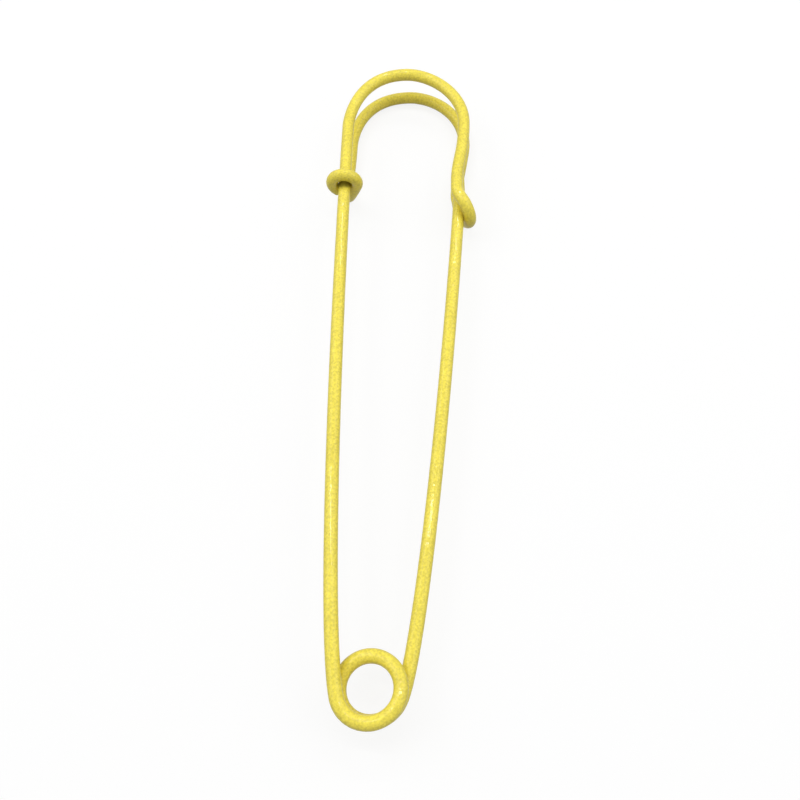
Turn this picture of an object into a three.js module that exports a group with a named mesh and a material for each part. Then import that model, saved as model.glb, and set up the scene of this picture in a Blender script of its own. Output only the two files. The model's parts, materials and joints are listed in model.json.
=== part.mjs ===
// A jumbo safety pin, bent from one length of powder-coated spring wire.
// Millimetres. It lies on its back: X runs from the back arm to the pin arm, Y from the coil to the
// clasp, and Z rises from the rear strands to the front strand. The shapes are worked out about the
// centre of the coil, at the depth of the front strand, and the last lines set the pin on its origin.
import * as THREE from "three";

// Wire, over its coat
const wireDiameter = 2.2;
const wireSides = 16;

// Clearances between neighbouring runs
const pinToStrand = 0.8;
const pinToHook = 0.15;
const collarToArm = 0.15;
const tailToCollarEnd = 0.5;
const hingeCut = 0.45;

// Spring coil
const coilEye = 7;
const armMeetsCoil = 200.5;
const pinLeavesCoil = -20.5;
const crossoverStart = 0.24;
const crossoverEnd = 0.76;
const openSwing = 18;
const restingCoilEnd = 4;

// Back arm
const headHeight = 101.7;
const armFootReach = 10;
const armTopReach = 29.5;

// Clasp arches. They were bent by hand, so the rear one isn't quite like the front one.
const headLean = -1.6;
const archHalfWidth = 11;
const frontRise = 12.45;
const frontPeakOffset = -0.4;
const frontLeftShoulder = 2.2;
const frontRightShoulder = 7.4;
const rearRise = 12.25;
const rearPeakOffset = -0.2;
const rearLeftShoulder = 3.3;
const rearRightShoulder = 7.9;
const leftCrownReach = 9.4;
const rightCrownReach = 4.8;

// Catch strands and the hook between them
const waistInset = 1.3;
const waistDrop = 14;
const waistFlare = 7.5;
const archFootReach = 4.2;
const waistTopReach = 2.35;
const waistFootReach = 1;
const hookDrop = 3.15;
const hookFlare = 37;
const hookReach = 1.5;

// Collar round the back arm
const collarDrop = 13.7;
const collarLead = 27;
const collarSweep = 262;
const tailShift = 0.38;
const tailReach = 3.5;
const tailTurnReach = 2.3;
const collarTurnReach = 2.75;

// Pin arm
const pinOutsideWaist = 0.46;
const pinLean = 1.45;
const pinFootReach = 8.8;
const pinTopReach = 33.6;
const hingeHeight = 18;
const tipPastWaist = 7.4;
const pointLength = 9;
const pointRadius = 0.15;

// Length of one mesh step on a long run and round a bend
const longStep = 3.5;
const bendStep = 0.95;

const wireRadius = wireDiameter / 2;
const coilRadius = (coilEye + wireDiameter) / 2;
const strandSpacing = 2 * (wireDiameter + pinToStrand);
const coilSweep = 720 + pinLeavesCoil - armMeetsCoil;
const wrapRadius = wireDiameter + collarToArm;

const radians = THREE.MathUtils.degToRad;
const point = (x, y, z = 0) => new THREE.Vector3(x, y, z);
const forward = point(0, 0, 1);
const along = (start, direction, distance) => start.clone().addScaledVector(direction, distance);
const deeper = (start, depth) => along(start, forward, -depth);

// The heading in the plane of the pin, in degrees turned from +Y towards +X.
const heading = (degrees) => point(Math.sin(radians(degrees)), Math.cos(radians(degrees)));

// A place or a direction on the clasp's head, which leans a little from the coil's own axis.
const headBase = point(0, headHeight);
const headTurn = new THREE.Quaternion().setFromAxisAngle(forward, -radians(headLean));
const onHead = (x, y) => point(x, y).applyQuaternion(headTurn).add(headBase);
const headDown = point(0, -1).applyQuaternion(headTurn);
const headRight = point(1, 0).applyQuaternion(headTurn);

// A smooth bend between two places, each left or met along its own direction of travel.
function bend(start, startDirection, startReach, end, endDirection, endReach) {
  const leaving = along(start, startDirection, startReach);
  const arriving = along(end, endDirection, -endReach);
  return new THREE.CubicBezierCurve3(start, leaving, arriving, end);
}

// A stretch of another run, from one share of its length to another, at its own depth or deeper.
class Stretch extends THREE.Curve {
  constructor(run, from, to, depth = 0) {
    super();
    this.run = run;
    this.from = from;
    this.to = to;
    this.depth = depth;
  }

  getPoint(t, target = new THREE.Vector3()) {
    this.run.getPointAt(THREE.MathUtils.lerp(this.from, this.to, t), target);
    target.z -= this.depth;
    return target;
  }
}

// A round bend about a centre, in the plane of two directions at right angles.
class RoundBend extends THREE.Curve {
  constructor(centre, radius, first, second, sweep) {
    super();
    this.centre = centre;
    this.radius = radius;
    this.first = first;
    this.second = second;
    this.sweep = radians(sweep);
  }

  getPoint(t, target = new THREE.Vector3()) {
    const angle = t * this.sweep;
    return target
      .copy(this.centre)
      .addScaledVector(this.first, this.radius * Math.cos(angle))
      .addScaledVector(this.second, this.radius * Math.sin(angle));
  }
}

// The coil's centreline between two angles. It lies level where the back arm meets it, crosses over
// to the depth of the pin arm, and is level again there, so that its two turns clear each other.
class CoilRun extends THREE.Curve {
  constructor(from, to) {
    super();
    this.from = from;
    this.to = to;
  }

  getPoint(t, target = new THREE.Vector3()) {
    const angle = THREE.MathUtils.lerp(this.from, this.to, t);
    const share = (angle - armMeetsCoil) / coilSweep;
    const depth = (strandSpacing / 2) * THREE.MathUtils.smoothstep(share, crossoverStart, crossoverEnd);
    const turned = radians(angle);
    return target.set(coilRadius * Math.cos(turned), coilRadius * Math.sin(turned), -depth);
  }
}

function joined(...runs) {
  const whole = new THREE.CurvePath();
  runs.forEach((run) => whole.add(run));
  return whole;
}

// The share of a run's length at which it passes a height above the coil.
function shareAtHeight(run, height) {
  let low = 0;
  let high = 1;
  while (high - low > 1e-6) {
    const middle = (low + high) / 2;
    if (run.getPointAt(middle).y < height) low = middle;
    else high = middle;
  }
  return low;
}

function powderCoat() {
  return new THREE.MeshStandardMaterial({ color: 0xead960, roughness: 0.42, metalness: 0 });
}

// The wire's section, with a flat on its underside where a run lies level.
function wireSection() {
  const corners = [];
  for (let i = 0; i < wireSides; i++) {
    const angle = ((i + 0.5) * 2 * Math.PI) / wireSides;
    corners.push(new THREE.Vector2(wireRadius * Math.cos(angle), wireRadius * Math.sin(angle)));
  }
  return new THREE.Shape(corners);
}

// A closed length of wire along a centreline, with square-cut ends.
function wire(name, centreline, stepLength) {
  const steps = Math.ceil(centreline.getLength() / stepLength);
  const settings = { steps, extrudePath: centreline, curveSegments: 1 };
  const mesh = new THREE.Mesh(new THREE.ExtrudeGeometry(wireSection(), settings), powderCoat());
  mesh.name = name;
  return mesh;
}

// Back arm: from the coil up the left side to the foot of the front arch.
const coilStart = new CoilRun(armMeetsCoil, armMeetsCoil + coilSweep).getPoint(0);
const leftFoot = onHead(-archHalfWidth, 0);
const armAtCoil = heading(-(armMeetsCoil - 180));
const headUp = headDown.clone().negate();
const armRun = bend(coilStart, armAtCoil, armFootReach, leftFoot, headUp, armTopReach);

// Arches over the clasp, fuller over the left shoulder than over the right.
const rightFoot = onHead(archHalfWidth, 0);
function archOver(peak, leftShoulder, rightShoulder) {
  return joined(
    bend(leftFoot, headUp, leftShoulder, peak, headRight, leftCrownReach),
    bend(peak, headRight, rightCrownReach, rightFoot, headDown, rightShoulder),
  );
}
const frontPeak = onHead(frontPeakOffset, frontRise);
const rearPeak = onHead(rearPeakOffset, rearRise);
const frontArchRun = archOver(frontPeak, frontLeftShoulder, frontRightShoulder);
const rearArchRun = archOver(rearPeak, rearLeftShoulder, rearRightShoulder);

// Pin's line through the catch, midway between the two strands.
const waist = onHead(archHalfWidth - waistInset, -waistDrop);
const pinHeading = heading(pinLean);
const pinRight = heading(pinLean + 90);
const pinAtWaist = deeper(along(waist, headRight, pinOutsideWaist), strandSpacing / 2);

// Hook: a half turn in depth, whose bottom stands just outside the pin that springs against it.
const hookRadius = strandSpacing / 2;
const hookHeading = heading(180 - hookFlare).applyQuaternion(headTurn);
const straightHook = along(waist, headDown, hookDrop);
const hookBottom = along(straightHook, hookHeading, hookRadius).sub(pinAtWaist);
const hookShift = (wireDiameter + pinToHook - hookBottom.dot(pinRight)) / headRight.dot(pinRight);
const hookStart = along(straightHook, headRight, hookShift);
const hookCentre = deeper(hookStart, hookRadius);
const hookRun = new RoundBend(hookCentre, hookRadius, forward, hookHeading, 180);

// Strand from the arch's right foot in to the waist and out to the hook.
const waistHeading = heading(180 - waistFlare).applyQuaternion(headTurn);
const strandRun = joined(
  bend(rightFoot, headDown, archFootReach, waist, waistHeading, waistTopReach),
  bend(waist, waistHeading, waistFootReach, hookStart, hookHeading, hookReach),
);

// Collar: the tail comes down behind the back arm, turns forward on its right and wraps round it.
const collarHeight = headHeight - collarDrop;
const collarCentre = armRun.getPointAt(shareAtHeight(armRun, collarHeight));
const armAtTail = shareAtHeight(armRun, collarHeight + wireDiameter + tailToCollarEnd);
const tailFoot = deeper(armRun.getPointAt(armAtTail), strandSpacing).add(point(-tailShift, 0));
const tailHeading = armRun.getTangentAt(armAtTail).negate();
const tailRun = bend(
  deeper(leftFoot, strandSpacing), headDown, tailReach,
  tailFoot, tailHeading, tailReach,
);
const turnAxis = point(0, 1);
const wrapOutward = point(1, 0).applyAxisAngle(turnAxis, radians(collarLead));
const wrapForward = forward.clone().applyAxisAngle(turnAxis, radians(collarLead));
const wrapStart = along(collarCentre, wrapOutward, wrapRadius);
const wrapRun = joined(
  bend(tailFoot, tailHeading, tailTurnReach, wrapStart, wrapForward, collarTurnReach),
  new RoundBend(collarCentre, wrapRadius, wrapOutward, wrapForward, collarSweep),
);

// Pin arm: from the coil up the right side to the root of the point.
const pinFoot = new CoilRun(armMeetsCoil, armMeetsCoil + coilSweep).getPoint(1);
const pointRoot = along(pinAtWaist, pinHeading, tipPastWaist - pointLength);
const pinRun = bend(pinFoot, heading(-pinLeavesCoil), pinFootReach, pointRoot, pinHeading, pinTopReach);
const hingeShare = shareAtHeight(pinRun, hingeHeight);
const hingeShareAbove = hingeShare + hingeCut / pinRun.getLength();

// The coil is cut just past its full turn, where the moving end has room to swing as the pin opens.
const coilCut = armMeetsCoil + 360 + restingCoilEnd;
const movingCoilStart = coilCut + openSwing + THREE.MathUtils.radToDeg(hingeCut / coilRadius);
const fixedCoil = new CoilRun(armMeetsCoil, coilCut);
const movingCoil = new CoilRun(movingCoilStart, armMeetsCoil + coilSweep);

// The sharp end: ground to a slim ogive with a slightly rounded tip.
function pinPoint() {
  const shoulder = new THREE.Vector2(wireRadius, 0);
  const fullness = new THREE.Vector2(0.72 * wireRadius, 0.6 * pointLength);
  const nose = new THREE.Vector2(pointRadius, pointLength - pointRadius);
  const flank = new THREE.QuadraticBezierCurve(shoulder, fullness, nose).getPoints(10);
  const profile = [new THREE.Vector2(0, 0), ...flank, new THREE.Vector2(0, pointLength)];
  const mesh = new THREE.Mesh(new THREE.LatheGeometry(profile, wireSides), powderCoat());
  mesh.name = "pin_point";
  mesh.position.copy(pointRoot);
  mesh.quaternion.setFromUnitVectors(point(0, 1), pinHeading);
  return mesh;
}

// The least gap between runs of the coil that lie half a turn or more apart, with the feet of both
// arms, measured on points.
function leastCoilGap() {
  const run = joined(
    new Stretch(armRun, 0.2, 0),
    new CoilRun(armMeetsCoil, armMeetsCoil + coilSweep),
    new Stretch(pinRun, 0, 0.2),
  );
  const samples = 400;
  const points = run.getSpacedPoints(samples);
  const halfTurn = Math.ceil((Math.PI * coilRadius * samples) / run.getLength());
  let least = Infinity;
  points.forEach((near, i) => {
    points.slice(i + halfTurn).forEach((far) => {
      least = Math.min(least, near.distanceTo(far));
    });
  });
  return least - wireDiameter;
}

const pieces = new THREE.Group();
pieces.add(
  wire("back_arm", armRun, longStep),
  wire("coil_turn", fixedCoil, bendStep),
  wire("front_arch", frontArchRun, bendStep),
  wire("front_catch_strand", strandRun, bendStep),
  wire("catch_hook", hookRun, bendStep / 2),
  wire("rear_catch_strand", new Stretch(strandRun, 1, 0, strandSpacing), bendStep),
  wire("rear_arch", new Stretch(rearArchRun, 1, 0, strandSpacing), bendStep),
  wire("rear_tail", tailRun, longStep),
  wire("collar_wrap", wrapRun, bendStep / 2),
  wire("pin_heel", joined(movingCoil, new Stretch(pinRun, 0, hingeShare)), bendStep),
  wire("pin_shank", new Stretch(pinRun, hingeShareAbove, 1), longStep),
  pinPoint(),
);
console.log(`Least gap in the coil: ${leastCoilGap().toFixed(2)} mm`);

// The origin is at the middle of the pin's underside.
const extent = new THREE.Box3().setFromObject(pieces, true);
const middle = extent.getCenter(new THREE.Vector3());
pieces.position.set(-middle.x, -middle.y, -extent.min.z);

const safetyPin = new THREE.Group();
safetyPin.name = "safety_pin";
safetyPin.add(pieces);

export default safetyPin;
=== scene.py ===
import json
import math

import bpy
from mathutils import Matrix, Vector


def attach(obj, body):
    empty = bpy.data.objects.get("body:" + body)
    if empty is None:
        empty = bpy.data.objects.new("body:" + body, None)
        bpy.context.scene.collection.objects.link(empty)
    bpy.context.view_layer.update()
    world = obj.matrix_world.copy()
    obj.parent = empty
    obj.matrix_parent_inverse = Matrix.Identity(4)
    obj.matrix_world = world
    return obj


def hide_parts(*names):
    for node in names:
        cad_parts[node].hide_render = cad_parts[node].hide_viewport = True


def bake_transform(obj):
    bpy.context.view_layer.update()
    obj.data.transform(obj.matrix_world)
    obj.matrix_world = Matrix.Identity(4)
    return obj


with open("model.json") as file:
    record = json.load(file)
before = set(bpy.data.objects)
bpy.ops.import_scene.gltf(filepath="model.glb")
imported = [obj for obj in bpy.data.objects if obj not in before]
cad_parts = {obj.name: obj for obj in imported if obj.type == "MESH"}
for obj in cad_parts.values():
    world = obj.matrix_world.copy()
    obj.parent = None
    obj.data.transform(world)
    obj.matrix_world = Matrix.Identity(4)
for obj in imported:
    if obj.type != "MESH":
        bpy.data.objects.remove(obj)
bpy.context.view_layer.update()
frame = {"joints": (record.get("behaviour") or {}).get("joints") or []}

# Back arm. The whole pin is one spring wire, bent cold, then powder coated in yellow and baked. The
# coat is a satin skin with a fine orange-peel grain, a shade deeper in its hollows. Its colour also holds
# painted shade: darker at the rims, where the wire turns from the light, and a painted shadow in the
# crease under the collar. This run, bowed a little outward from the coil to the clasp, is the one that
# the cloth hangs on.
wire_radius = 0.0011
pin_to_strand = 0.0008
first_turn_centre = Vector((-0.00025, -0.00022, 0))
first_turn_radius = 0.00443
arm_meets_coil = 195.5
head_height = 0.1017
head_lean = -1.6
arch_half_width = 0.011
arm_foot_reach = 0.01225
arm_top_reach = 0.0295
longest_bend = 0.0025

coil_centre = Vector(frame["joints"][0]["pos_m"])
hook_radius = 2 * wire_radius + pin_to_strand
pin_depth = coil_centre.z
front_depth = pin_depth + hook_radius
rear_depth = pin_depth - hook_radius

coat_deep = (0.72, 0.60, 0.068, 1)
coat_pale = (1.0, 0.845, 0.102, 1)
peel_size = 0.36
powder_size = 0.12
drift_size = 5
powder_in_relief = 0.3
skin_relief = 0.00004
gloss_relief = 0.000004
gloss_facing = 0.36
gloss_at_rim = 0.05
# Painted shade: how dark the colour is made at the wire's rims and in the collar's shadow on the arm.
painted_shade_at_rim = 0.86
painted_shadow_in_crease = 0.38
smooth_angle = math.radians(35)

coat = bpy.data.materials.new("yellow_powder_coat")
coat.use_nodes = True
coat_nodes = coat.node_tree.nodes
coat_links = coat.node_tree.links
coat_shader = coat_nodes["Principled BSDF"]
coat_shader.inputs["Specular IOR Level"].default_value = 0.1
coat_shader.inputs["Coat Roughness"].default_value = 0.06
coat_place = coat_nodes.new("ShaderNodeTexCoord").outputs["Object"]
millimetres = coat_nodes.new("ShaderNodeVectorMath")
millimetres.operation = "SCALE"
millimetres.inputs["Scale"].default_value = 1000
coat_links.new(coat_place, millimetres.inputs["Vector"])


def coat_noise(size_in_millimetres, detail):
    noise = coat_nodes.new("ShaderNodeTexNoise")
    noise.inputs["Scale"].default_value = 1 / size_in_millimetres
    noise.inputs["Detail"].default_value = detail
    coat_links.new(millimetres.outputs["Vector"], noise.inputs["Vector"])
    return noise.outputs["Fac"]


def coat_range(value, lowest, highest, new_lowest, new_highest):
    spread = coat_nodes.new("ShaderNodeMapRange")
    spread.inputs["From Min"].default_value = lowest
    spread.inputs["From Max"].default_value = highest
    spread.inputs["To Min"].default_value = new_lowest
    spread.inputs["To Max"].default_value = new_highest
    coat_links.new(value, spread.inputs["Value"])
    return spread.outputs["Result"]


peel = coat_noise(peel_size, 2)
powder = coat_noise(powder_size, 1)
drift = coat_noise(drift_size, 1)

tone = coat_nodes.new("ShaderNodeMath")
tone.operation = "ADD"
coat_links.new(coat_range(peel, 0.34, 0.66, 0, 0.8), tone.inputs[0])
coat_links.new(coat_range(drift, 0.35, 0.65, 0, 0.2), tone.inputs[1])
colour = coat_nodes.new("ShaderNodeMix")
colour.data_type = "RGBA"
colour.inputs["A"].default_value = coat_deep
colour.inputs["B"].default_value = coat_pale
coat_links.new(tone.outputs["Value"], colour.inputs["Factor"])

slant = coat_nodes.new("ShaderNodeLayerWeight").outputs["Facing"]
gloss = coat_range(slant, 0.4, 0.9, gloss_facing, gloss_at_rim)
coat_links.new(gloss, coat_shader.inputs["Coat Weight"])
coat_links.new(coat_range(peel, 0.3, 0.7, 0.32, 0.24), coat_shader.inputs["Roughness"])

# Painted shadow: the collar's shadow on the back arm, read from a value stored on the arm's mesh.
crease_shadow_attribute = coat_nodes.new("ShaderNodeAttribute")
crease_shadow_attribute.attribute_name = "painted_crease_shadow"
painted_shade = coat_nodes.new("ShaderNodeMath")
painted_shade.operation = "MULTIPLY"
# Painted shade: the colour is darkened where the wire is seen at a slant, as the light falls off there.
coat_links.new(coat_range(slant, 0.25, 0.65, 1, painted_shade_at_rim), painted_shade.inputs[0])
coat_links.new(coat_range(crease_shadow_attribute.outputs["Fac"], 0, 1, 1, painted_shadow_in_crease), painted_shade.inputs[1])
shaded = coat_nodes.new("ShaderNodeVectorMath")
shaded.operation = "SCALE"
coat_links.new(colour.outputs["Result"], shaded.inputs["Vector"])
coat_links.new(painted_shade.outputs["Value"], shaded.inputs["Scale"])
coat_links.new(shaded.outputs["Vector"], coat_shader.inputs["Base Color"])

relief = coat_nodes.new("ShaderNodeMath")
relief.operation = "MULTIPLY_ADD"
relief.inputs[1].default_value = powder_in_relief
coat_links.new(powder, relief.inputs[0])
coat_links.new(peel, relief.inputs[2])
for part, height in (("Normal", skin_relief), ("Coat Normal", gloss_relief)):
    bump = coat_nodes.new("ShaderNodeBump")
    bump.inputs["Distance"].default_value = height
    coat_links.new(relief.outputs["Value"], bump.inputs["Height"])
    coat_links.new(bump.outputs["Normal"], coat_shader.inputs[part])

thick_and_thin = bpy.data.textures.new("thick_and_thin_coat", "CLOUDS")
thick_and_thin.noise_scale = 0.0007
thick_and_thin.noise_depth = 1


def at(x, y, depth):
    return Vector((coil_centre.x + x, coil_centre.y + y, depth))


def on_turn(centre, radius, degrees, depth):
    turned = math.radians(degrees)
    return at(radius * math.cos(turned), radius * math.sin(turned), depth) + centre


def heading(degrees):
    turned = math.radians(degrees)
    return Vector((math.sin(turned), math.cos(turned), 0))


head_turn = Matrix.Rotation(-math.radians(head_lean), 3, "Z")
head_up = head_turn @ Vector((0, 1, 0))
head_down = -head_up
head_right = head_turn @ Vector((1, 0, 0))


def on_head(x, y, depth):
    return at(0, head_height, depth) + head_right * x + head_up * y


def bend(start, start_heading, start_reach, end, end_heading, end_reach):
    return (start, start + start_heading * start_reach, end - end_heading * end_reach, end)


def cut(run, share):
    a, b, c, d = run
    ab, bc, cd = a.lerp(b, share), b.lerp(c, share), c.lerp(d, share)
    abc, bcd = ab.lerp(bc, share), bc.lerp(cd, share)
    place = abc.lerp(bcd, share)
    return (a, ab, abc, place), (place, bcd, cd, d)


def divided(run):
    a, b, c, d = run
    length = (a - b).length + (b - c).length + (c - d).length
    parts = []
    for left in range(math.ceil(length / longest_bend), 1, -1):
        part, run = cut(run, 1 / left)
        parts.append(part)
    return [*parts, run]


def bare_wire(name, runs):
    bpy.ops.object.select_all(action="DESELECT")
    bpy.ops.curve.primitive_bezier_curve_add()
    tube = bpy.context.object
    tube.name = name
    tube.data.name = name
    tube.data.dimensions = "3D"
    tube.data.twist_mode = "MINIMUM"
    tube.data.resolution_u = 12
    tube.data.bevel_depth = wire_radius
    tube.data.bevel_resolution = 20
    bends = [part for run in runs for part in divided(run)]
    knots = tube.data.splines[0].bezier_points
    knots.add(len(bends) - 1)
    for knot in knots:
        knot.handle_left_type = knot.handle_right_type = "FREE"
        knot.radius = 1
    for before, after, (start, leaving, arriving, end) in zip(knots[:-1], knots[1:], bends):
        before.co, before.handle_right = start, leaving
        after.handle_left, after.co = arriving, end
    knots[0].handle_left = 2 * knots[0].co - knots[0].handle_right
    knots[-1].handle_right = 2 * knots[-1].co - knots[-1].handle_left
    return tube


def coated(tube):
    bpy.ops.object.convert(target="MESH")
    skin = tube.modifiers.new("coat_thickness", "DISPLACE")
    skin.texture = thick_and_thin
    skin.texture_coords = "LOCAL"
    skin.strength = 0.00003
    bpy.ops.object.modifier_apply(modifier=skin.name)
    bpy.ops.object.mode_set(mode="EDIT")
    bpy.ops.mesh.select_all(action="SELECT")
    bpy.ops.mesh.remove_doubles(threshold=0.000001)
    bpy.ops.mesh.fill_holes(sides=0)
    bpy.ops.mesh.select_all(action="SELECT")
    bpy.ops.mesh.normals_make_consistent(inside=False)
    bpy.ops.object.mode_set(mode="OBJECT")
    bpy.ops.object.shade_smooth_by_angle(angle=smooth_angle)
    tube.data.materials.append(coat)
    return tube


left_foot = on_head(-arch_half_width, 0, front_depth)
arm_start = on_turn(first_turn_centre, first_turn_radius, arm_meets_coil, front_depth)
arm_at_coil = heading(180 - arm_meets_coil)
arm_run = bend(arm_start, arm_at_coil, arm_foot_reach, left_foot, head_up, arm_top_reach)
back_arm = coated(bare_wire("back_arm_wire", [arm_run]))
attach(back_arm, "back")
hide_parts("back_arm")

# Front arch. The bow of the clasp that shows in front, bent by hand round a former, so that it is
# fuller over its left shoulder than over its right.
left_crown_reach = 0.0094
right_crown_reach = 0.0048
front_rise = 0.01245
front_peak_offset = -0.0004
front_left_shoulder = 0.0022
front_right_shoulder = 0.0074


def arch_over(depth, peak_offset, rise, left_shoulder, right_shoulder):
    left = on_head(-arch_half_width, 0, depth)
    peak = on_head(peak_offset, rise, depth)
    right = on_head(arch_half_width, 0, depth)
    return [
        bend(left, head_up, left_shoulder, peak, head_right, left_crown_reach),
        bend(peak, head_right, right_crown_reach, right, head_down, right_shoulder),
    ]


front_runs = arch_over(
    front_depth, front_peak_offset, front_rise, front_left_shoulder, front_right_shoulder,
)
front_arch = coated(bare_wire("front_arch_wire", front_runs))
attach(front_arch, "back")
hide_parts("front_arch")

# Front catch strand. From the arch's right foot the wire draws in to a waist and flares out to the
# hook, whose bottom stands just outside the pin arm that springs against it.
waist_inset = 0.0013
waist_drop = 0.0137
waist_flare = 1.1
arch_foot_reach = 0.007
waist_top_reach = 0.0047
waist_foot_reach = 0.00117
hook_drop = 0.0034
hook_flare = 32
hook_reach = 0.00205
pin_to_hook = 0.00003
pin_outside_waist = 0.00047
pin_lean = 1.45

right_foot = on_head(arch_half_width, 0, front_depth)
waist = on_head(arch_half_width - waist_inset, -waist_drop, front_depth)
waist_heading = head_turn @ heading(180 - waist_flare)
pin_at_waist = on_head(arch_half_width - waist_inset + pin_outside_waist, -waist_drop, pin_depth)
pin_right = heading(pin_lean + 90)
hook_heading = head_turn @ heading(180 - hook_flare)
straight_hook = waist + head_down * hook_drop
hook_bottom = straight_hook + hook_heading * hook_radius - pin_at_waist
hook_shift = (2 * wire_radius + pin_to_hook - hook_bottom.dot(pin_right)) / head_right.dot(pin_right)
hook_start = straight_hook + head_right * hook_shift
strand_runs = [
    bend(right_foot, head_down, arch_foot_reach, waist, waist_heading, waist_top_reach),
    bend(waist, waist_heading, waist_foot_reach, hook_start, hook_heading, hook_reach),
]
front_strand = coated(bare_wire("front_catch_strand_wire", strand_runs))
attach(front_strand, "back")
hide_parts("front_catch_strand")

# Catch hook. A half turn in depth, bent round a peg, from the front strand to the rear one. The pin
# arm springs outward against it when the pin is shut.


def round_bend(centre, radius, first, second, sweep, pitch=Vector()):
    count = math.ceil(sweep / 30)
    step = math.radians(sweep) / count
    reach = 4 / 3 * math.tan(step / 4)
    runs = []
    for i in range(count):
        a, b = i * step, (i + 1) * step
        start = first * math.cos(a) + second * math.sin(a)
        end = first * math.cos(b) + second * math.sin(b)
        leaving = start + (second * math.cos(a) - first * math.sin(a)) * reach
        arriving = end - (second * math.cos(b) - first * math.sin(b)) * reach
        turned = (a, a + step / 3, b - step / 3, b)
        runs.append(tuple(
            centre + part * radius + pitch * angle / (2 * math.pi)
            for part, angle in zip((start, leaving, arriving, end), turned)
        ))
    return runs


forward = Vector((0, 0, 1))
hook_centre = hook_start - forward * hook_radius
hook_runs = round_bend(hook_centre, hook_radius, forward, hook_heading, 180)
hook = coated(bare_wire("catch_hook_wire", hook_runs))
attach(hook, "back")
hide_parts("catch_hook")

# Rear catch strand and rear arch. The same bends again, one strand spacing behind the front ones. They
# came out a little different by hand: the waist is higher and the arch a little lower, and less full
# over its left shoulder.
rear_waist_inset = 0.0014
rear_waist_drop = 0.013
rear_waist_flare = 11
rear_arch_foot_reach = 0.0034
rear_waist_top_reach = 0.0025
rear_waist_foot_reach = 0.0024
rear_hook_reach = 0.0011
rear_rise = 0.01225
rear_peak_offset = -0.0002
rear_left_shoulder = 0.0033
rear_right_shoulder = 0.0079

backward = Vector((0, 0, rear_depth - front_depth))
rear_foot = on_head(arch_half_width, 0, rear_depth)
rear_waist = on_head(arch_half_width - rear_waist_inset, -rear_waist_drop, rear_depth)
rear_heading = -(head_turn @ heading(180 - rear_waist_flare))
rear_strand_runs = [
    bend(
        hook_start + backward, -hook_heading, rear_hook_reach,
        rear_waist, rear_heading, rear_waist_foot_reach,
    ),
    bend(rear_waist, rear_heading, rear_waist_top_reach, rear_foot, head_up, rear_arch_foot_reach),
]
rear_strand = coated(bare_wire("rear_catch_strand_wire", rear_strand_runs))
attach(rear_strand, "back")
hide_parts("rear_catch_strand")

rear_runs = arch_over(rear_depth, rear_peak_offset, rear_rise, rear_left_shoulder, rear_right_shoulder)
rear_arch = coated(bare_wire("rear_arch_wire", rear_runs))
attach(rear_arch, "back")
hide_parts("rear_arch")

# Tail. The last straight run of the wire, from the rear arch's left foot down behind the back arm, bent
# by hand to follow it to just above the collar.
collar_drop = 0.01366
tail_to_collar_end = 0.00053
tail_shift = 0.00034
tail_reach = 0.0035


def share_at_height(run, height):
    low, high = 0.0, 1.0
    while high - low > 1e-7:
        share = (low + high) / 2
        if cut(run, share)[0][3].y < coil_centre.y + height:
            low = share
        else:
            high = share
    return low


collar_height = head_height - collar_drop
tail_height = collar_height + 2 * wire_radius + tail_to_collar_end
arm_at_tail = cut(arm_run, share_at_height(arm_run, tail_height))[0]
tail_foot = arm_at_tail[3] + backward - Vector((tail_shift, 0, 0))
tail_heading = (arm_at_tail[2] - arm_at_tail[3]).normalized()
tail_run = bend(left_foot + backward, head_down, tail_reach, tail_foot, tail_heading, tail_reach)
rear_tail = coated(bare_wire("rear_tail_wire", [tail_run]))
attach(rear_tail, "back")
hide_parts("rear_tail")

# Collar. The tail turns forward on the right of the back arm and wraps round it, which ties the rear of
# the clasp to its front. It stands a little off the arm's front, and the collar's shadow is painted dark
# on the arm in the crease under it. The wire was cut before it was coated, so the coat rounds its end.
collar_to_arm = 0.00008
collar_stands_forward = 0.0002
collar_lead = 25
collar_sweep = 262
collar_pitch = Vector((0, -0.00035, 0))
tail_turn_reach = 0.0025
collar_turn_reach = 0.0025
end_rounding = 0.0004
crease_reach_by_depth = 0.775
crease_foot = -0.00135
crease_full = -0.00045
crease_fades = -0.00025
crease_top = 0.0003
crease_side = -0.0003


def eased(share):
    return share * share * (3 - 2 * share)


def eased_between(value, none, full):
    return eased(min(1, max(0, (value - none) / (full - none))))


wrap_radius = 2 * wire_radius + collar_to_arm
collar_centre = cut(arm_run, share_at_height(arm_run, collar_height))[0][3]
wrap_lead = Matrix.Rotation(math.radians(collar_lead), 3, "Y")
wrap_outward = wrap_lead @ Vector((1, 0, 0))
wrap_forward = wrap_lead @ forward
wrap_centre = collar_centre - collar_pitch * (collar_lead + 90) / 360 + forward * collar_stands_forward
wrap_heading = (wrap_forward * wrap_radius + collar_pitch / (2 * math.pi)).normalized()
wrap_start = wrap_centre + wrap_outward * wrap_radius
wrap_runs = [
    bend(tail_foot, tail_heading, tail_turn_reach, wrap_start, wrap_heading, collar_turn_reach),
    *round_bend(wrap_centre, wrap_radius, wrap_outward, wrap_forward, collar_sweep, collar_pitch),
]
collar = coated(bare_wire("collar_wrap_wire", wrap_runs))
collar_end = wrap_runs[-1][3]
bpy.ops.object.mode_set(mode="EDIT")
bpy.ops.mesh.select_mode(type="FACE")
bpy.ops.mesh.select_all(action="DESELECT")
bpy.ops.object.mode_set(mode="OBJECT")
cap = min(collar.data.polygons, key=lambda face: (face.center - collar_end).length)
cap.select = True
bpy.ops.object.mode_set(mode="EDIT")
bpy.ops.mesh.region_to_loop()
bpy.ops.mesh.bevel(offset=end_rounding, segments=5, affect="EDGES")
bpy.ops.object.mode_set(mode="OBJECT")
bpy.ops.object.shade_smooth_by_angle(angle=smooth_angle)
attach(collar, "back")
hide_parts("collar_wrap")
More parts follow.
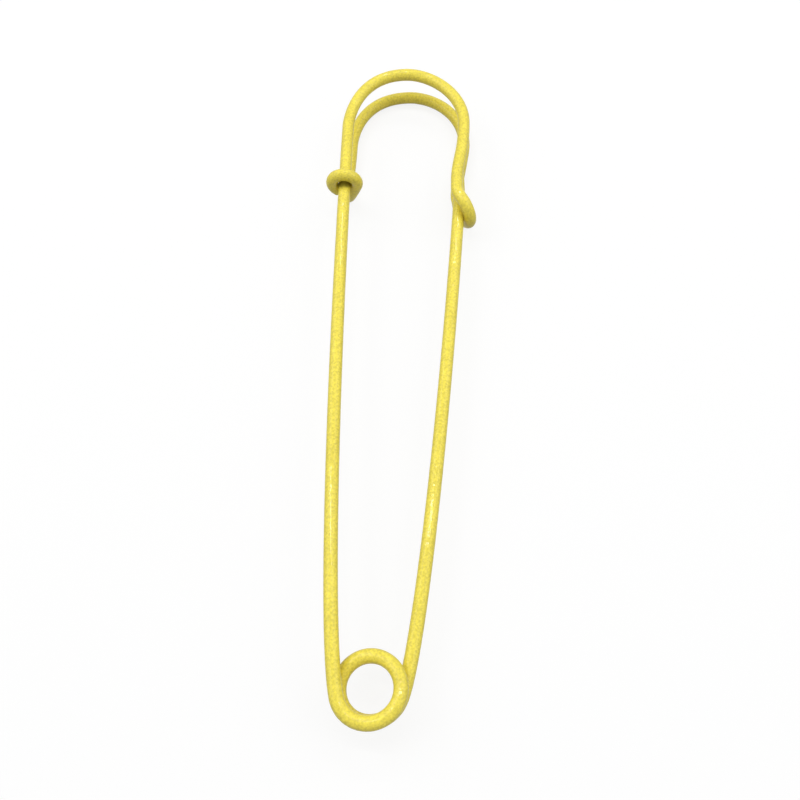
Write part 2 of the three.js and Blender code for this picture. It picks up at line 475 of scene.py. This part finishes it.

# Painted shadow of the collar. It lies on the arm's front, behind the collar, and reaches furthest down
# where the arm bulges.
crease = back_arm.data.attributes.new("painted_crease_shadow", "FLOAT", "POINT")
for vertex, shadow_share in zip(back_arm.data.vertices, crease.data):
    above, in_front = (vertex.co - collar_centre).yz
    below_top = eased_between(above, crease_top, crease_fades)
    above_foot = eased_between(above + crease_reach_by_depth * in_front, crease_foot, crease_full)
    shadow_share.value = below_top * above_foot * eased_between(in_front, crease_side, 0)

# Pin arm. The run that moves, from above the spring's foot through the cloth to the root of the
# point. It was bent to lie straight through the hook.
last_turn_centre = Vector((-0.00009, 0.00057, 0))
last_turn_radius = 0.00488
pin_leaves_coil = -23
pin_foot_reach = 0.0071
pin_top_reach = 0.0336
hinge_height = 0.018
tip_past_waist = 0.0071
point_length = 0.009

pin_heading = heading(pin_lean)
point_root = pin_at_waist + pin_heading * (tip_past_waist - point_length)
pin_foot = on_turn(last_turn_centre, last_turn_radius, pin_leaves_coil, pin_depth)
pin_run = bend(
    pin_foot, heading(-pin_leaves_coil), pin_foot_reach, point_root, pin_heading, pin_top_reach,
)
heel_run, shank_run = cut(pin_run, share_at_height(pin_run, hinge_height))
pin_arm = coated(bare_wire("pin_arm_wire", [shank_run]))
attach(pin_arm, "pin")
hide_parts("pin_shank")

# Point. It was ground to a slim ogive before the wire was bent and coated, and its tip is a little
# blunted by the coat.
point_radius = 0.00015
ogive_width = 0.72
ogive_height = 0.6
ogive_steps = 14
tip_steps = 4
smallest_tip = 0.000002

fullness = Vector((ogive_width * wire_radius, ogive_height * point_length))
shoulder = Vector((wire_radius, 0))
nose = Vector((point_radius, point_length - point_radius))
profile = []
for i in range(ogive_steps + 1):
    t = i / ogive_steps
    profile.append(shoulder * (1 - t) ** 2 + fullness * 2 * t * (1 - t) + nose * t * t)
for i in range(1, tip_steps + 1):
    a = math.radians(90 * i / tip_steps)
    profile.append(Vector((point_radius * math.cos(a), nose.y + point_radius * math.sin(a))))
point_end = point_root + pin_heading * point_length
point_line = bend(point_root, pin_heading, point_length / 3, point_end, pin_heading, point_length / 3)
point = bare_wire("pin_point_wire", [point_line])
knots = point.data.splines[0].bezier_points
knots.add(len(profile) - len(knots))
for knot, (radius, height) in zip(knots, profile):
    knot.handle_left_type = knot.handle_right_type = "VECTOR"
    knot.co = point_root + pin_heading * height
    knot.radius = max(radius, smallest_tip) / wire_radius
point.data.resolution_u = 4
coated(point)
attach(point, "pin")
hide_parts("pin_point")

# Spring coil. About one and a half turns of the wire, wound round a mandrel, with the foot of the pin
# arm. It sprang back a little out of round. It pushes the pin arm outward against the hook, and
# unwinds a little as the pin opens.
crossover_start = 0.24
crossover_end = 0.76
out_of_round = Vector((0.00041, -0.00022, 0))
coil_bends = 36
coil_sweep = 720 + pin_leaves_coil - arm_meets_coil


def in_coil(angle):
    share = (angle - arm_meets_coil) / coil_sweep
    rise = eased_between(share, crossover_start, crossover_end)
    depth = front_depth + (pin_depth - front_depth) * rise
    centre = first_turn_centre.lerp(last_turn_centre, eased(share))
    centre += out_of_round * math.sin(math.pi * share) ** 2
    radius = first_turn_radius + (last_turn_radius - first_turn_radius) * eased(share)
    return on_turn(centre, radius, angle, depth)


def coil_bend(first, last):
    small = 0.05
    start_travel = (in_coil(first + small) - in_coil(first - small)) / (2 * small)
    end_travel = (in_coil(last + small) - in_coil(last - small)) / (2 * small)
    third = (last - first) / 3
    return (
        in_coil(first), in_coil(first) + start_travel * third,
        in_coil(last) - end_travel * third, in_coil(last),
    )


turn = coil_sweep / coil_bends
coil_runs = [
    coil_bend(arm_meets_coil + i * turn, arm_meets_coil + (i + 1) * turn) for i in range(coil_bends)
]
spring_coil = coated(bare_wire("spring_coil", [*coil_runs, heel_run]))
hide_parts("coil_turn", "pin_heel")
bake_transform(spring_coil)

# Floor. A plain white sheet that the pin lies on. It shows nearly white to the camera, with a faint
# shadow, and gives back only part of the light, so that the undersides of the wire stay deeper.
sheet_to_light = (0.38, 0.38, 0.38, 1)
sheet_to_camera = (0.92, 0.92, 0.92, 1)
white_share = 0.85


def shown(nodes, links):
    rays = nodes.new("ShaderNodeLightPath")
    mirrored = nodes.new("ShaderNodeMath")
    mirrored.operation = "MAXIMUM"
    links.new(rays.outputs["Is Glossy Ray"], mirrored.inputs[0])
    links.new(rays.outputs["Is Transmission Ray"], mirrored.inputs[1])
    seen = nodes.new("ShaderNodeMath")
    seen.operation = "MAXIMUM"
    links.new(rays.outputs["Is Camera Ray"], seen.inputs[0])
    links.new(mirrored.outputs["Value"], seen.inputs[1])
    return seen.outputs["Value"]


bpy.ops.object.select_all(action="DESELECT")
bpy.ops.mesh.primitive_plane_add(size=6, location=(0, 0, -0.00005))
floor = bpy.context.object
floor.name = "floor"
paper = bpy.data.materials.new("white_paper")
paper.use_nodes = True
paper_nodes = paper.node_tree.nodes
paper_links = paper.node_tree.links
paper_nodes.clear()
paper_shown = shown(paper_nodes, paper_links)
tint = paper_nodes.new("ShaderNodeMix")
tint.data_type = "RGBA"
tint.inputs["A"].default_value = sheet_to_light
tint.inputs["B"].default_value = sheet_to_camera
paper_links.new(paper_shown, tint.inputs["Factor"])
sheet = paper_nodes.new("ShaderNodeBsdfDiffuse")
paper_links.new(tint.outputs["Result"], sheet.inputs["Color"])
white = paper_nodes.new("ShaderNodeEmission")
white.inputs["Strength"].default_value = 1
whiteness = paper_nodes.new("ShaderNodeMath")
whiteness.operation = "MULTIPLY"
whiteness.inputs[1].default_value = white_share
paper_links.new(paper_shown, whiteness.inputs[0])
blend = paper_nodes.new("ShaderNodeMixShader")
paper_links.new(whiteness.outputs["Value"], blend.inputs["Fac"])
paper_links.new(sheet.outputs["BSDF"], blend.inputs[1])
paper_links.new(white.outputs["Emission"], blend.inputs[2])
surface = paper_nodes.new("ShaderNodeOutputMaterial")
paper_links.new(blend.outputs["Shader"], surface.inputs["Surface"])
floor.data.materials.append(paper)

# Light. Large soft lamps hang to the pin's left and right, and two long thin tubes across it, which draw
# the narrow glints on the arms. The room is dim, but shows white behind the sheet. Each lamp's place is
# given as the two angles by which it leans from straight overhead, to the right and toward the clasp,
# and its turn about its own beam.
lamp_distance = 0.65
room_to_light = 0.4
room_to_camera = 1


def lamp(name, rightward, claspward, turn, length, width, power):
    place = Vector((math.tan(math.radians(rightward)), math.tan(math.radians(claspward)), 1))
    outward = place.normalized()
    level = (Vector((1, 0, 0)) - outward * outward.x).normalized()
    across = Matrix.Rotation(math.radians(turn), 3, outward) @ level
    bpy.ops.object.select_all(action="DESELECT")
    bpy.ops.object.light_add(type="AREA")
    light = bpy.context.object
    light.name = name
    light.data.shape = "ELLIPSE"
    light.data.size = length
    light.data.size_y = width
    light.data.energy = power
    light.location = outward * lamp_distance
    light.rotation_euler = Matrix((across, outward.cross(across), outward)).transposed().to_euler()


lamp("left_light", -37, 22, 0, 0.16, 0.7, 0.77)
lamp("right_light", 36, 22, 0, 0.16, 0.7, 0.56)
lamp("left_side_fill", -55, 15, 0, 0.4, 0.6, 0.66)
lamp("right_side_fill", 55, 15, 0, 0.4, 0.6, 0.73)
lamp("near_right_fill", 60, -25, 0, 0.3, 0.4, 0.12)
lamp("near_tube", -4, 13.5, -6, 0.6, 0.026, 0.95)
lamp("far_tube", 5, 36, 0, 0.4, 0.02, 0.5)

world = bpy.data.worlds.new("pale_room")
bpy.context.scene.world = world
world.use_nodes = True
room_nodes = world.node_tree.nodes
room_links = world.node_tree.links
room = room_nodes["Background"]
room.inputs["Color"].default_value = (1, 1, 1, 1)
room_level = room_nodes.new("ShaderNodeMapRange")
room_level.inputs["To Min"].default_value = room_to_light
room_level.inputs["To Max"].default_value = room_to_camera
room_links.new(shown(room_nodes, room_links), room_level.inputs["Value"])
room_links.new(room_level.outputs["Result"], room.inputs["Strength"])

# Camera. It looks down on the pin from the coil's end, close, so that the head runs away from it. Its
# place and its turns are those at which the pin's outlines fall as in the photograph.
focal_pixels = 845.3
picture_pixels = 800
camera_roll = -0.059775
camera_tilt = -0.408407
camera_yaw = -0.098244
coil_from_camera = Vector((-0.0044922, -0.0409359, -0.1200439))

bpy.ops.object.camera_add()
camera = bpy.context.object
camera.name = "photo_camera"
camera.data.sensor_width = 36
camera.data.lens = focal_pixels / picture_pixels * camera.data.sensor_width
camera.data.clip_start = 0.001
rolled = Matrix.Rotation(camera_roll, 3, "Z")
tilted = Matrix.Rotation(camera_tilt, 3, "X")
yawed = Matrix.Rotation(camera_yaw, 3, "Y")
from_camera = (rolled @ tilted @ yawed).transposed()
camera.rotation_euler = from_camera.to_euler()
camera.location = at(0, 0, front_depth) - from_camera @ coil_from_camera
bpy.context.scene.camera = camera
bpy.context.scene.view_settings.view_transform = "Standard"
